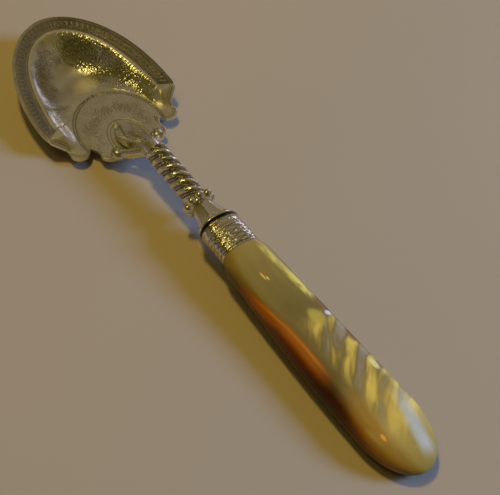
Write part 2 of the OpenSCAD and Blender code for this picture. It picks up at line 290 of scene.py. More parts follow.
class Nodes:
    """A node tree with short ways to add nodes and values."""

    def __init__(self, tree, place):
        self.tree = tree
        self.tree.nodes.clear()
        self.place = self.add("ShaderNodeTexCoord").outputs[place]

    def add(self, kind, **settings):
        """A new node with these settings."""
        node = self.tree.nodes.new(kind)
        for key, value in settings.items():
            setattr(node, key, value)
        return node

    def link(self, a, b):
        self.tree.links.new(a, b)

    def put(self, socket, value):
        """Link or write the value into the socket."""
        if isinstance(value, bpy.types.NodeSocket):
            self.link(value, socket)
        elif hasattr(value, "__len__") and len(value) == 3 and len(socket.default_value) == 4:
            socket.default_value = (*value, 1)
        else:
            socket.default_value = value

    def math(self, operation, a, b=0.0, c=0.0, clamp=False):
        node = self.add("ShaderNodeMath", operation=operation, use_clamp=clamp)
        for socket, value in zip(node.inputs, (a, b, c)):
            self.put(socket, value)
        return node.outputs[0]

    def window(self, value, a, b, c, d):
        """1 from b to c, falling to 0 at a and d."""
        return self.math("MULTIPLY", self.step(value, a, b), self.step(value, d, c))

    def spot(self, u, v, centre, size):
        """1 in the middle of an oval place and 0 outside it."""
        du = self.math("DIVIDE", self.math("SUBTRACT", u, centre[0]), size[0])
        dv = self.math("DIVIDE", self.math("SUBTRACT", v, centre[1]), size[1])
        far = self.math("MULTIPLY_ADD", du, du, self.math("MULTIPLY", dv, dv))
        return self.step(far, 1.0, 0.15)

    def step(self, value, low, high):
        """0 at low and 1 at high, eased between them; low may be the larger."""
        node = self.add("ShaderNodeMapRange", interpolation_type="SMOOTHSTEP")
        self.put(node.inputs["Value"], value)
        node.inputs["From Min"].default_value = low
        node.inputs["From Max"].default_value = high
        return node.outputs["Result"]

    def blend(self, share, a, b, kind="MIX"):
        """Colour a where share is 0 and b where it is 1."""
        node = self.add("ShaderNodeMix", data_type="RGBA", blend_type=kind)
        self.put(node.inputs[MIX_SHARE], share)
        self.put(node.inputs[MIX_A], a)
        self.put(node.inputs[MIX_B], b)
        return node.outputs[MIX_COLOUR]

    def ramp(self, value, stops):
        """Colour by value through (value, colour) stops."""
        node = self.add("ShaderNodeValToRGB")
        ramp = node.color_ramp
        ramp.elements[0].position, ramp.elements[0].color = stops[0][0], (*stops[0][1], 1)
        ramp.elements[1].position, ramp.elements[1].color = stops[-1][0], (*stops[-1][1], 1)
        for place, colour in stops[1:-1]:
            ramp.elements.new(place).color = (*colour, 1)
        self.put(node.inputs[0], value)
        return node.outputs[0]

    def noise(self, scale, detail, stretch=(1, 1, 1)):
        """Cloudy values from 0 to 1, finer along an axis where stretch is larger."""
        mapping = self.add("ShaderNodeMapping")
        mapping.inputs["Scale"].default_value = stretch
        self.link(self.place, mapping.inputs["Vector"])
        node = self.add("ShaderNodeTexNoise")
        self.link(mapping.outputs[0], node.inputs["Vector"])
        node.inputs["Scale"].default_value = scale
        node.inputs["Detail"].default_value = detail
        return node.outputs["Fac"]


class Surface(Nodes):
    """A material with one Principled shader."""

    def __init__(self, name):
        self.material = bpy.data.materials.new(name)
        self.material.use_nodes = True
        super().__init__(self.material.node_tree, "Object")
        self.shader = self.add("ShaderNodeBsdfPrincipled")
        self.link(self.shader.outputs[0], self.add("ShaderNodeOutputMaterial").inputs["Surface"])

    def bump(self, height, distance, strength=1.0):
        node = self.add("ShaderNodeBump")
        self.put(node.inputs["Height"], height)
        node.inputs["Distance"].default_value = distance
        node.inputs["Strength"].default_value = strength
        self.link(node.outputs[0], self.shader.inputs["Normal"])


def silver(name, cut=False, facets=0.0, graved=False, dull=0.07, dirt_and_shade=BOWL_DIRT_AND_SHADE):
    """Old silver: cut is how deep the graver went and, on some pieces, where painted shade lies; the colour
    darkens with it. work is 1 where its strokes leave small bright facets.
    """
    n = Surface(name)
    tone = n.step(n.noise(260, 4), 0.3, 0.7)
    colour = n.blend(tone, SILVER_DARK, SILVER_LIGHT)
    smears = n.noise(900, 5, (1, 3, 1))
    rough = n.math("MULTIPLY_ADD", smears, 0.12, dull)
    scratches = n.noise(2200, 4, (1, 4, 1))
    height = n.math("MULTIPLY", scratches, 0.03)
    if cut:
        depth = n.add("ShaderNodeAttribute", attribute_name="cut").outputs["Fac"]
        # Darkening by the cut attribute: patina in the cuts, and painted shade where a piece lays it in
        colour = n.blend(depth, colour, dirt_and_shade)
        rough = n.math("MULTIPLY_ADD", depth, 0.14, rough)
    if facets:
        ground = n.math("MULTIPLY", n.noise(1500, 1), facets)
        if graved:
            work = n.add("ShaderNodeAttribute", attribute_name="work").outputs["Fac"]
            ground = n.math("MULTIPLY", ground, work)
            plain_dull = 0.26
            rough = n.math("ADD", rough, n.math("MULTIPLY_ADD", work, -plain_dull, plain_dull))
        height = n.math("ADD", height, ground)
    n.put(n.shader.inputs["Base Color"], colour)
    n.put(n.shader.inputs["Roughness"], rough)
    n.shader.inputs["Metallic"].default_value = 1.0
    n.bump(height, 0.2 * MM)
    return n.material


def outline(m):
    """Half of the bowl's outline from the back of the heel round to the tip, and its run from the heel."""
    bulge, lobe_r = 3.4, 2.4
    t = np.linspace(0, math.pi / 2, 40)
    back = np.stack([m.bowl - bulge * (1 - np.cos(t)), (m.half - 9.4) * np.sin(t)], 1)
    notch = np.array([[m.bowl - 5.4, m.half - 9.5], [m.blade + 4.9, m.half - 8.65]])
    a = np.radians(np.linspace(-60, 108, 40))
    lobe = np.stack([m.blade + 4.4 + lobe_r * np.cos(a), m.half - 5.8 + lobe_r * np.sin(a)], 1)
    corner = np.array([[m.blade + 2.4, m.half - 3.3], [m.blade, m.half - 0.6],
                       [m.blade - 1.9, m.half - 0.1]])
    t = np.linspace(math.pi / 2, 0, 200)
    blade = np.stack([m.wide * (1 - np.cos(t) ** (2 / ALONG_POWER)),
                      m.half * np.sin(t) ** (2 / ACROSS_POWER)], 1)
    points = np.concatenate([back, notch, lobe, corner, blade])
    run = np.concatenate([[0], np.cumsum(np.linalg.norm(np.diff(points, axis=0), axis=1))])
    return points, run


def rim_height(m, x):
    """Height of the rim: it climbs to the tip and drops to the flat heel."""
    rise = m.corner_h + (m.tip_h - m.corner_h) * (np.clip(m.wide - x, 0, None) / m.wide) ** 1.2
    drop = m.corner_h - (m.corner_h - m.heel_h) * ease((x - m.blade + 1) / 4.8)
    return np.where(x < m.wide, rise, drop)


def floor_height(m, x):
    """Height of the bowl's middle: lowest in front, up to the heel behind."""
    front = 0.4 * ease((m.low - x) / m.low)
    rear = ease((x - m.low) / (m.shelf - SHELF_L - m.low))
    return m.sheet + (m.heel_h - m.sheet) * np.where(x < m.low, front, rear)


def groove(distance, width):
    """Depth share of a V-shaped cut at a distance from its middle."""
    return np.clip(1 - np.abs(distance) / (width / 2), 0, 1)


def oval_share(x, y, oval):
    """Distance from an oval's middle as a share of its size: 1 on its line."""
    middle, half_length, half_width = oval
    return np.hypot((middle - x) / half_length, y / half_width)


def toward(angle):
    """Direction on the map of the cuts."""
    return np.array([math.cos(angle), math.sin(angle)])


class CutMap:
    """Flat map of the cuts in the bowl, measured from the tip, that strokes of a graver are drawn on."""

    cell = 0.05

    def __init__(self, m):
        self.half = m.half + 0.5
        self.depth = np.zeros((int(m.bowl / self.cell) + 2, int(2 * self.half / self.cell) + 2))

    def stroke(self, points, width):
        """One cut along the points, widest in its middle."""
        points = np.asarray(points, float)
        n = len(points) - 1
        for k, (a, b) in enumerate(zip(points, points[1:])):
            low = np.minimum(a, b) - width
            high = np.maximum(a, b) + width
            i0 = max(0, int(low[0] / self.cell))
            i1 = min(self.depth.shape[0] - 1, int(high[0] / self.cell) + 1)
            j0 = max(0, int((low[1] + self.half) / self.cell))
            j1 = min(self.depth.shape[1] - 1, int((high[1] + self.half) / self.cell) + 1)
            if i1 <= i0 or j1 <= j0:
                continue
            x = (np.arange(i0, i1) * self.cell)[:, None]
            y = (np.arange(j0, j1) * self.cell - self.half)[None, :]
            run = b - a
            t = np.clip(((x - a[0]) * run[0] + (y - a[1]) * run[1]) / max(run @ run, 1e-9), 0, 1)
            away = np.hypot(x - a[0] - t * run[0], y - a[1] - t * run[1])
            taper = np.sin(math.pi * np.clip((k + t) / n, 0.03, 0.97)) ** 0.6
            cut = np.clip(1 - away / (width / 2 * taper + 0.02), 0, 1) * taper
            area = self.depth[i0:i1, j0:j1]
            np.maximum(area, cut, out=area)

    def leaf(self, place, heading, size, ribs, width=0.34):
        """A leaf as a fan of curved cuts on both sides of its rib."""
        place = np.asarray(place, float)
        ahead = toward(heading)
        self.stroke([place, place + ahead * size * 0.5, place + ahead * size], width)
        for k in range(ribs):
            start = place + ahead * size * (0.1 + 0.7 * k / ribs)
            for side in (-1, 1):
                turn = heading + side * 0.95
                out = toward(turn)
                reach = size * (0.52 - 0.09 * k)
                bend = start + out * reach * 0.6 + ahead * reach * 0.08
                self.stroke([start, bend, start + out * reach + ahead * reach * 0.35], width * 0.85)

    def flower(self, place, radius):
        """A daisy: a dot in a ring of short cuts."""
        place, petals = np.asarray(place, float), 7
        for k in range(petals):
            a = 2 * math.pi * k / petals
            out = toward(a)
            self.stroke([place + out * radius * 0.35, place + out * radius], radius * 0.42)
        self.ring(place, radius * 0.22, 0.22)

    def ring(self, place, radius, width=0.26):
        """A circle of short cuts that overlap."""
        parts = 12
        for k in range(parts):
            a, b = 2 * math.pi * k / parts, 2 * math.pi * (k + 1.2) / parts
            self.stroke([place + radius * toward(a), place + radius * toward(b)], width)

    def curl(self, place, heading, size, hand):
        """A tendril that winds in on itself."""
        place = np.asarray(place, float)
        points = [place]
        for k in range(9):
            heading += hand * (0.25 + 0.09 * k)
            run = size * 0.22 * (1 - 0.07 * k)
            points.append(points[-1] + run * toward(heading))
        self.stroke(points, 0.26)

    def read(self, x, y):
        """Depth share at the places, between the cells too."""
        i = np.clip(x / self.cell, 0, self.depth.shape[0] - 1.001)
        j = np.clip((y + self.half) / self.cell, 0, self.depth.shape[1] - 1.001)
        a, b = i.astype(int), j.astype(int)
        u, v = i - a, j - b
        d = self.depth
        return mix(mix(d[a, b], d[a, b + 1], v), mix(d[a + 1, b], d[a + 1, b + 1], v), u)


def draw_foliage(m, cuts, points, run):
    """The garland inside the band, with leaves, daisies and tendrils, and the feathers round the leaf."""
    rng = random.Random(7)
    centre = np.array([m.middle, 0])
    inset, sway = 7.7, 0.9
    start = np.interp(m.wide + 1, points[::-1, 0], run[::-1])
    for side in (1, -1):
        vine = []
        for k, along in enumerate(np.arange(run[-1] - 1.2, start + 2, -0.42)):
            p = np.array([np.interp(along, run, points[:, 0]), np.interp(along, run, points[:, 1])])
            inward = (centre - p) / np.linalg.norm(centre - p)
            q = p + inward * (inset + sway * math.sin(k * 0.55))
            vine.append([q[0], q[1] * side])
        vine = np.array(vine)
        for k in range(0, len(vine) - 3, 2):
            cuts.stroke(vine[k:k + 4], 0.3)
        for k in range(2, len(vine) - 2, 5):
            way = vine[k + 1] - vine[k - 1]
            heading = math.atan2(way[1], way[0])
            for hand in (1, -1):
                cuts.leaf(vine[k], heading + hand * rng.uniform(0.8, 1.15), rng.uniform(2.6, 3.4), 3, 0.32)
            if k % 3 == 0:
                cuts.curl(vine[k], heading - 0.7, rng.uniform(1.8, 2.3), 1)
            if k % 4 == 0:
                out = heading + math.pi / 2
                cuts.flower(vine[k] + 2.9 * toward(out), 0.95)
    feathers, fan = 11, 84
    for k in range(feathers):
        a = math.radians(fan * (2 * k / (feathers - 1) - 1))
        root = np.array([FEATHERS[0] - FEATHERS[1] * math.cos(a), FEATHERS[2] * math.sin(a)])
        heading = math.atan2(math.sin(a) * 1.05, -math.cos(a))
        cuts.leaf(root, heading, 5.6 if k % 2 == 0 else 4.4, 4)
    eye = np.array([30.9, 0.0])
    cuts.ring(eye, 0.8)
    cuts.ring(eye, 0.35)
    for side in (1, -1):
        cuts.leaf((44.4, m.foot_y * side), side * 0.9, 1.9, 3)
        cuts.leaf((39.3, 12.6 * side), side * 0.8, 1.7, 3)
        cuts.leaf((36.6, 13.4 * side), side * 2.4, 2.4, 4)


def engraving(m, cuts, x, y, edge, along, blade):
    """Depth share of every cut: edge is the way in from the rim, along the way round it."""
    repeat, mill, dot = 1.5, 0.55, 0.7
    depth = 0.75 * cuts.read(x, y) * (edge > m.band + 0.5)
    band = np.maximum(groove(edge - 0.95, 0.34), groove(edge - 3.3, 0.32))
    band = np.maximum(band, groove(edge - 3.95, 0.3))
    across = (edge - 1.2) / 1.9
    phase = np.mod(along / repeat, 1)
    within = (across > 0) & (across < 1)
    chevron = groove(np.abs(phase - 0.5) * repeat - across * 0.62, 0.34)
    oval = groove(np.hypot((phase - 0.5) * repeat, (across - 0.72) * 1.3) - 0.28, 0.26)
    milled = groove(edge - 0.5, 0.5) * (np.mod(along / mill, 1) < 0.42) * 0.8
    band = np.maximum.reduce([band, chevron * within, oval * within, milled])
    depth = np.maximum(depth, band * blade)
    heel = np.maximum(groove(edge - 0.7, 0.3), groove(edge - 1.2, 0.24)) * (1 - blade)
    arch, arch_mm = oval_share(x, y, ARCH), 12
    swing = np.arctan2(y / ARCH[2], (ARCH[0] - x) / ARCH[1]) * 12.3
    inside = (x < 42) & (edge > 0.8)
    dots = groove((arch - 0.975) * arch_mm, 0.62) * (np.mod(swing / dot, 1) < 0.42)
    lines = [groove((arch - share) * arch_mm, 0.3) for share in (1.0, 0.945)]
    ring = np.maximum.reduce([*lines, dots])
    near, near_mm = oval_share(x, y, HALO), 6
    halo = np.maximum(*(groove((near - share) * near_mm, 0.3) for share in (1.0, 0.86)))
    return np.maximum.reduce([depth, heel, ring * inside, halo * (x < 46)])


def worked(x, y, edge, blade):
    """1 where the graver's strokes leave no plain metal: the band, the garland and the field in the arch."""
    band = ease((edge - 1.1) / 0.2) * ease((3.3 - edge) / 0.2) * blade
    arch, near = oval_share(x, y, ARCH), oval_share(x, y, HALO)
    field = ease((0.95 - arch) / 0.05) * ease((near - 1) / 0.1)
    inner = 12.0 + 2.2 * ease(y / 4)
    garland = ease((edge - 4.3) / 0.7) * ease((inner - edge) / 1.8) * ease((arch - 1.03) / 0.05)
    garland = garland * mix(0.4, 1, ease((y + 5) / 7))
    return np.maximum.reduce([0.5 * band, 0.42 * field, 0.85 * garland])


class SPOON_OT_bowl(bpy.types.Operator):
    """Build the engraved silver bowl: a disc spun from one line, then dished and cut"""

    bl_idname = "spoon.bowl"
    bl_label = "Bowl"

    def execute(self, context):
        m = Measures(context.scene)
        points, run = outline(m)
        last = 0.9975
        top = np.concatenate([np.linspace(0, 0.2, 8)[:-1], np.linspace(0.2, 0.8, 90)[:-1],
                              np.linspace(0.8, last, 31)])
        under = np.linspace(last, 0, 9)
        profile = [(1, r) for r in top] + [(0.8, 1), (0.2, 1)] + [(0, r) for r in under]
        bm = lathe(profile, context.scene.spoon_bowl.spokes)
        cuts = CutMap(m)
        draw_foliage(m, cuts, points, run)

        def dish(co):
            level, u = co[:, 0], np.hypot(co[:, 1], co[:, 2])
            turn = np.mod(np.arctan2(co[:, 2], co[:, 1]) / (2 * math.pi), 1)
            along = (1 - np.abs(2 * turn - 1)) * run[-1]
            px = np.interp(along, run, points[:, 0])
            py = np.interp(along, run, points[:, 1]) * np.where(turn < 0.5, 1, -1)
            x, y = mix(m.middle, px, u), py * u
            reach = np.hypot(px - m.middle, py)
            shelf = SHELF_HALF * np.sqrt(np.clip(1 - np.clip((m.shelf - x) / SHELF_L, 0, 1) ** 2, 0, 1))
            before = (1 - np.clip(x / m.wide, 0, 1)) ** ALONG_POWER
            wide = m.half * (1 - before) ** (1 / ACROSS_POWER)
            behind = (np.abs(y) - shelf) / (wide - m.band - shelf)
            share = np.where(x < m.middle, u / (1 - m.band / reach), behind)
            flat = 0.4 * (1 - ease((x - m.middle) / SHELF_L))
            climb = (1 - np.cos(math.pi * np.clip((share - flat) / (1 - flat), 0, 1) ** 1.35)) / 2
            z = mix(floor_height(m, x), rim_height(m, x), climb)
            edge = (1 - u) * reach
            blade = ease((m.blade - 0.5 - px) / 0.6)
            cut = engraving(m, cuts, x, y, edge, along, blade) * (level > 0.95)
            lean = m.lean * blade * ease(edge / m.band) * ease((11 - edge) / 6)
            z = z - m.sheet * (1 - level) - m.depth * cut - lean * (level > 0.95)
            work = worked(x, y, edge, blade) * (level > 0.95)
            # Painted shade on the band and the lip, darker toward the +y side where they mirror the dark
            # room, with some dirt in the band's milled pattern; it is laid into the cut attribute
            shade = ease((y + 4) / 10)
            band_dirt_and_shade = mix(mix(0.5, 0.72, shade), mix(0.2, 0.7, shade), ease((1.0 - edge) / 0.3))
            band_dirt_and_shade = band_dirt_and_shade * blade * ease((m.band - edge) / 0.3)
            cut = np.maximum(cut, band_dirt_and_shade * (level > 0.15))
            return m.from_tip(np.stack([x, y, z], 1)), {"cut": cut, "work": work}

        metal = silver("Engraved Silver", True, 1.0, graved=True)
        seat(piece(bm, "bowl", dish), "bowl", metal)
        return {"FINISHED"}


class SPOON_OT_root(bpy.types.Operator):
    """Build the leaf, the arms with their curled feet and the shank that lie on the heel"""

    bl_idname = "spoon.root"
    bl_label = "Leaf And Feet"

    def execute(self, context):
        m = Measures(context.scene)
        apex = m.bowl - m.leaf_l
        run = m.rope_x + 0.4 - apex
        heel = m.leaf_l / run
        metal = silver("Cast Silver", True, 0.02, dull=0.22)

        def leaf(co):
            t = co[:, 0]
            angle = np.degrees(np.arctan2(co[:, 2], co[:, 1]))
            angle = np.where(angle < -90, angle + 360, angle)
            spread = 3.1 * np.sin(math.pi * np.clip(t / (heel * 1.45), 0, 1) ** 0.72)
            half = np.maximum.reduce([np.full_like(t, 0.12), spread, m.shank * ease(t / heel)])
            height = mix(1.1, m.rope_z + m.shank - m.heel_h, ease(t) ** 1.35)
            side = np.minimum(height, 0.6 * ease(t * 6))
            keys = [-90, -50, -15, 20, 55, 90, 125, 160, 195, 230, 270]
            wide = [0, 1, 1, 1, 0.5, 0, -0.5, -1, -1, -1, 0]
            low = [0, 0, 0.5, 1, 1, 1, 1, 1, 0.5, 0, 0]
            over, up = np.interp(angle, keys, wide), np.interp(angle, keys, low)
            bend = 0.14 * np.sin(2 * math.pi * np.clip(t / heel, 0, 1))
            ridge = np.exp(-((over - bend) / 0.8) ** 2)
            vein = np.maximum(groove(over - bend + 0.45, 0.16), 0.4 * groove(over - bend - 0.5, 0.12))
            vein = vein * (up > 0.99)
            # Painted shade: the cut attribute also darkens the leaf's lower sides, where it meets the heel;
            # the vein is a real cut
            cut = np.maximum(vein, ease((0.5 - up) / 0.4)) * (t < heel)
            flat_y = over * half
            flat_z = up * (height - side) + ridge * side * (up > 0.99) - 0.03 * cut * (up > 0.99)
            r = np.radians(angle)
            inner = np.hypot(co[:, 1], co[:, 2])
            round_ = ease((t - heel) / (1 - heel))
            y = mix(flat_y, m.shank * np.cos(r), round_) * inner
            centre = mix(m.heel_h + height / 2, m.rope_z, round_)
            z = mix(m.heel_h + flat_z, m.rope_z + m.shank * np.sin(r), round_)
            place = np.stack([mix(apex, m.rope_x + 0.4, t), y, mix(centre, z, inner)], 1)
            return m.from_tip(place), {"cut": cut * (inner > 0.5)}

        stations = [*np.linspace(0, heel, 40), *np.linspace(heel, 1, 24)[1:]]
        cast(lathe(capped(stations), 80), "leaf", leaf, metal)

        end_x = m.rope_x - 1.2
        bm = bmesh.new()
        for hand in (1, -1):
            made = bmesh.ops.create_uvsphere(bm, u_segments=56, v_segments=40, radius=1.5)["verts"]
            bmesh.ops.scale(bm, verts=made, vec=(1.25, 1.05, 1))
            place = (m.foot_x - m.total / 2, m.foot_y * hand, m.heel_h + 0.75)
            bmesh.ops.translate(bm, verts=made, vec=place)
        bmesh.ops.bisect_plane(bm, geom=bm.verts[:] + bm.edges[:] + bm.faces[:], plane_co=(0, 0, m.heel_h),
                               plane_no=(0, 0, -1), clear_outer=True)
        bmesh.ops.holes_fill(bm, edges=[e for e in bm.edges if e.is_boundary])

        def curled(co):
            dx, dy = co[:, 0] - m.foot_x + m.total / 2, np.abs(co[:, 1]) - m.foot_y
            phase = np.mod(np.arctan2(dy, dx) / (2 * math.pi) + np.hypot(dx, dy) / 0.85, 1)
            return co, {"cut": 0.9 * groove(phase - 0.5, 0.4) * (co[:, 2] > m.heel_h + 0.3)}

        cast(bm, "feet", curled, metal)

        for hand, name in ((1, "arm_right"), (-1, "arm_left")):
            def arm(co, hand=hand):
                t, inner = co[:, 0], np.hypot(co[:, 1], co[:, 2])
                x = mix(m.foot_x, end_x, t)
                r = np.arctan2(co[:, 2], co[:, 1])
                low = mix(m.heel_h, m.rope_z - m.shank, ease((x - m.bowl) / (end_x - m.bowl)))
                top = mix(m.heel_h + 1.5, m.rope_z + 0.66, t)
                way = np.array([end_x - m.foot_x, -m.foot_y])
                way = way / np.linalg.norm(way)
                side = mix(0.95, 1.2, t) * power(np.cos(r), 0.85) * inner
                z = mix(low, top, 0.5 + 0.5 * power(np.sin(r), 0.85) * inner)
                y = m.foot_y * (1 - t) + way[0] * side
                place = np.stack([x - way[1] * side, hand * y, z], 1)
                return m.from_tip(place), {}

            cast(lathe(capped(np.linspace(0, 1, 20)), 40), name, arm, metal)
        return {"FINISHED"}


class SPOON_OT_rope(bpy.types.Operator):
    """Build the rope twist: thick strands with a thin milled one between each two"""

    bl_idname = "spoon.rope"
    bl_label = "Rope Twist"

    def execute(self, context):
        m = Measures(context.scene)

        def twist(co):
            x, inner = co[:, 0], np.hypot(co[:, 1], co[:, 2])
            angle = np.arctan2(co[:, 2], co[:, 1])
            pitch = 2 * math.pi / m.strands
            trough, thin_rise, thread = 0.75, 0.4, 0.62
            own = np.mod(angle + 2 * math.pi * x / m.lead, pitch)
            off = np.abs(own - pitch / 2)
            thick, thin = pitch * 0.35, pitch * 0.15
            outer, bottom = m.rope_d / 2, m.rope_d / 2 - trough
            bulge = np.sqrt(np.clip(1 - (off / thick) ** 2, 0, 1))
            small = np.sqrt(np.clip(1 - ((pitch / 2 - off) / thin) ** 2, 0, 1))
            milled = 0.07 * np.cos(2 * math.pi * (x + angle * 0.6) / thread)
            rise = np.where(off < thick, (outer - bottom) * bulge, (thin_rise + milled) * small)
            radius = (bottom + rise) * inner
            place = np.stack([x, radius * np.cos(angle), radius * np.sin(angle)], 1)
            # The cut attribute darkens each strand from its groove nearly to its crest: patina in the
            # grooves, and painted shade over the rest
            cut = np.clip(1 - (radius - bottom) / 0.72, 0, 1) * (inner > 0.5)
            return m.on_axis(place), {"cut": cut}

        metal = silver("Twisted Silver", True, 1.1, dirt_and_shade=ROPE_DIRT_AND_SHADE)
        cast(lathe(capped(np.linspace(0, m.rope, 200)), 144), "rope", twist, metal)
        return {"FINISHED"}


class SPOON_OT_collar(bpy.types.Operator):
    """Build the ring of beads, the eight-sided flare and the flange"""

    bl_idname = "spoon.collar"
    bl_label = "Beads And Flare"

    def execute(self, context):
        m = Measures(context.scene)
        metal = silver("Collar Silver", facets=0.04)
        wide, high, play, sunk = 3.0, 2.7, 0.03, 0.3
        radius = m.bead / 2 - play
        bm = bmesh.new()
        for k in range(m.beads):
            a = 2 * math.pi * k / m.beads
            made = bmesh.ops.create_uvsphere(bm, u_segments=28, v_segments=18, radius=radius)["verts"]
            place = (m.rope + m.bead / 2, wide * math.cos(a), high * math.sin(a))
            bmesh.ops.translate(bm, verts=made, vec=place)
        cast(bm, "beads", lambda co: (m.on_axis(co), {}), metal)

        bm = bmesh.new()
        grains = 26
        milling_at = m.flare_at + 0.86 * (m.flare + sunk)
        for k in range(grains):
            a = 2 * math.pi * k / grains
            made = bmesh.ops.create_uvsphere(bm, u_segments=12, v_segments=8, radius=0.27)["verts"]
            place = (milling_at, 4.12 * math.cos(a), 3.1 * math.sin(a))
            bmesh.ops.translate(bm, verts=made, vec=place)
        cast(bm, "milling", lambda co: (m.on_axis(co), {}), metal)

        def core(co):
            return m.on_axis(co * [1, wide, high]), {}

        profile = [(m.rope - 0.1, 0), (m.rope - 0.1, 0.93), (m.rope + 0.3, 1), (m.rope + m.bead - 0.3, 1),
                   (m.rope + m.bead - 0.1, 0.95), (m.rope + m.bead - 0.1, 0)]
        cast(lathe(profile, 48), "bead_core", core, metal)

        bm = bmesh.new()
        ring = bmesh.ops.create_circle(bm, segments=8, radius=1, cap_ends=False)["verts"]
        bmesh.ops.rotate(bm, verts=ring, cent=(0, 0, 0), matrix=Matrix.Rotation(math.pi / 8, 3, "Z"))
        bmesh.ops.rotate(bm, verts=ring, cent=(0, 0, 0), matrix=Matrix(((0, 0, 1), (1, 0, 0), (0, 1, 0))))
        edges = bm.edges[:]
        steps = 12
        for _ in range(steps):
            made = bmesh.ops.extrude_edge_only(bm, edges=edges)["geom"]
            moved = [v for v in made if isinstance(v, bmesh.types.BMVert)]
            bmesh.ops.translate(bm, verts=moved, vec=(1 / steps, 0, 0))
            edges = [e for e in made if isinstance(e, bmesh.types.BMEdge)]
        bmesh.ops.holes_fill(bm, edges=[e for e in bm.edges if e.is_boundary])
        long_edges = [e for e in bm.edges if abs((e.verts[0].co - e.verts[1].co).x) > 0.01]
        bmesh.ops.bevel(bm, geom=long_edges, offset=0.06, offset_type="OFFSET", affect="EDGES", segments=2,
                        profile=0.5, material=-1)

        def flare(co):
            t = co[:, 0]
            s = t ** 1.6
            y, z = co[:, 1] * mix(2.7, 4.7, s), co[:, 2] * mix(2.4, 3.45, s)
            return m.on_axis(np.stack([m.flare_at + t * (m.flare + sunk), y, z], 1)), {}

        cast(bm, "flare", flare, metal, smooth=False)

        def flange(co):
            return m.on_axis(co * [1, 4.8, 3.55]), {}

        a, b = m.flange_at, m.flange_at + m.flange
        profile = [(a, 0), (a, 0.97), (a + 0.1, 1), (b - 0.1, 1), (b, 0.97), (b, 0)]
        cast(lathe(profile, 96), "flange", flange, metal)
        return {"FINISHED"}


class SPOON_OT_ferrule(bpy.types.Operator):
    """Build the oval ferrule with its rolled rim and bright-cut body"""

    bl_idname = "spoon.ferrule"
    bl_label = "Ferrule"

    def execute(self, context):
        m = Measures(context.scene)
        t = np.linspace(math.pi, 0, 14)
        rim_l, rim_h, band_h, body_end = 1.5, 0.3, 0.12, 8.9
        line = list(zip(rim_l / 2 * (1 + np.cos(t)), rim_h * np.sin(t)))
        line += [(1.65, band_h), (2.8, band_h), (2.93, -0.03), (3.05, band_h)]
        line += [(x, band_h * (body_end - x) / 5.85) for x in np.linspace(3.15, body_end, 44)]
        line += [(m.ferrule, -0.08)]
        line = np.array(line)
        profile = [(line[0][0], 0)] + [(x, 1) for x in line[:, 0]] + [(line[-1][0], 0)]

        def sleeve(co):
            x, inner = co[:, 0], np.hypot(co[:, 1], co[:, 2])
            angle = np.arctan2(co[:, 2], co[:, 1])
            s = x / m.ferrule
            proud = np.interp(x, line[:, 0], line[:, 1])
            body = (x > 3.3) & (x < 8.7)
            twig = np.maximum(groove(np.mod(x + angle * 1.7, 1.15) - 0.57, 0.34),
                              groove(np.mod(x - angle * 2.3 + 0.4, 1.4) - 0.7, 0.32))
            edge = np.maximum(groove(x - 3.45, 0.26), groove(x - 8.5, 0.26))
            # Painted dark reflection over the rolled rim, laid into the cut attribute; the twig and edge
            # lines are real cuts
            rolled = ease((1.25 - x) / 0.3)
            cut = np.maximum.reduce([twig * body * 0.8, edge, rolled]) * (inner > 0.5)
            deep = 0.04 * cut * (x > 1)
            a, b = mix(4.75, 4.9, s) + proud - deep, mix(3.5, 3.15, s) + proud - deep
            p = mix(2.1, 2.7, s)
            y, z = a * power(np.cos(angle), 2 / p) * inner, b * power(np.sin(angle), 2 / p) * inner
            return m.on_axis(np.stack([m.ferrule_at + x, y, z], 1)), {"cut": cut}

        obj = piece(lathe(profile, 200), "ferrule", sleeve)
        seat(obj, "ferrule", silver("Ferrule Silver", True, 1.1, dirt_and_shade=FERRULE_DIRT_AND_SHADE))
        return {"FINISHED"}


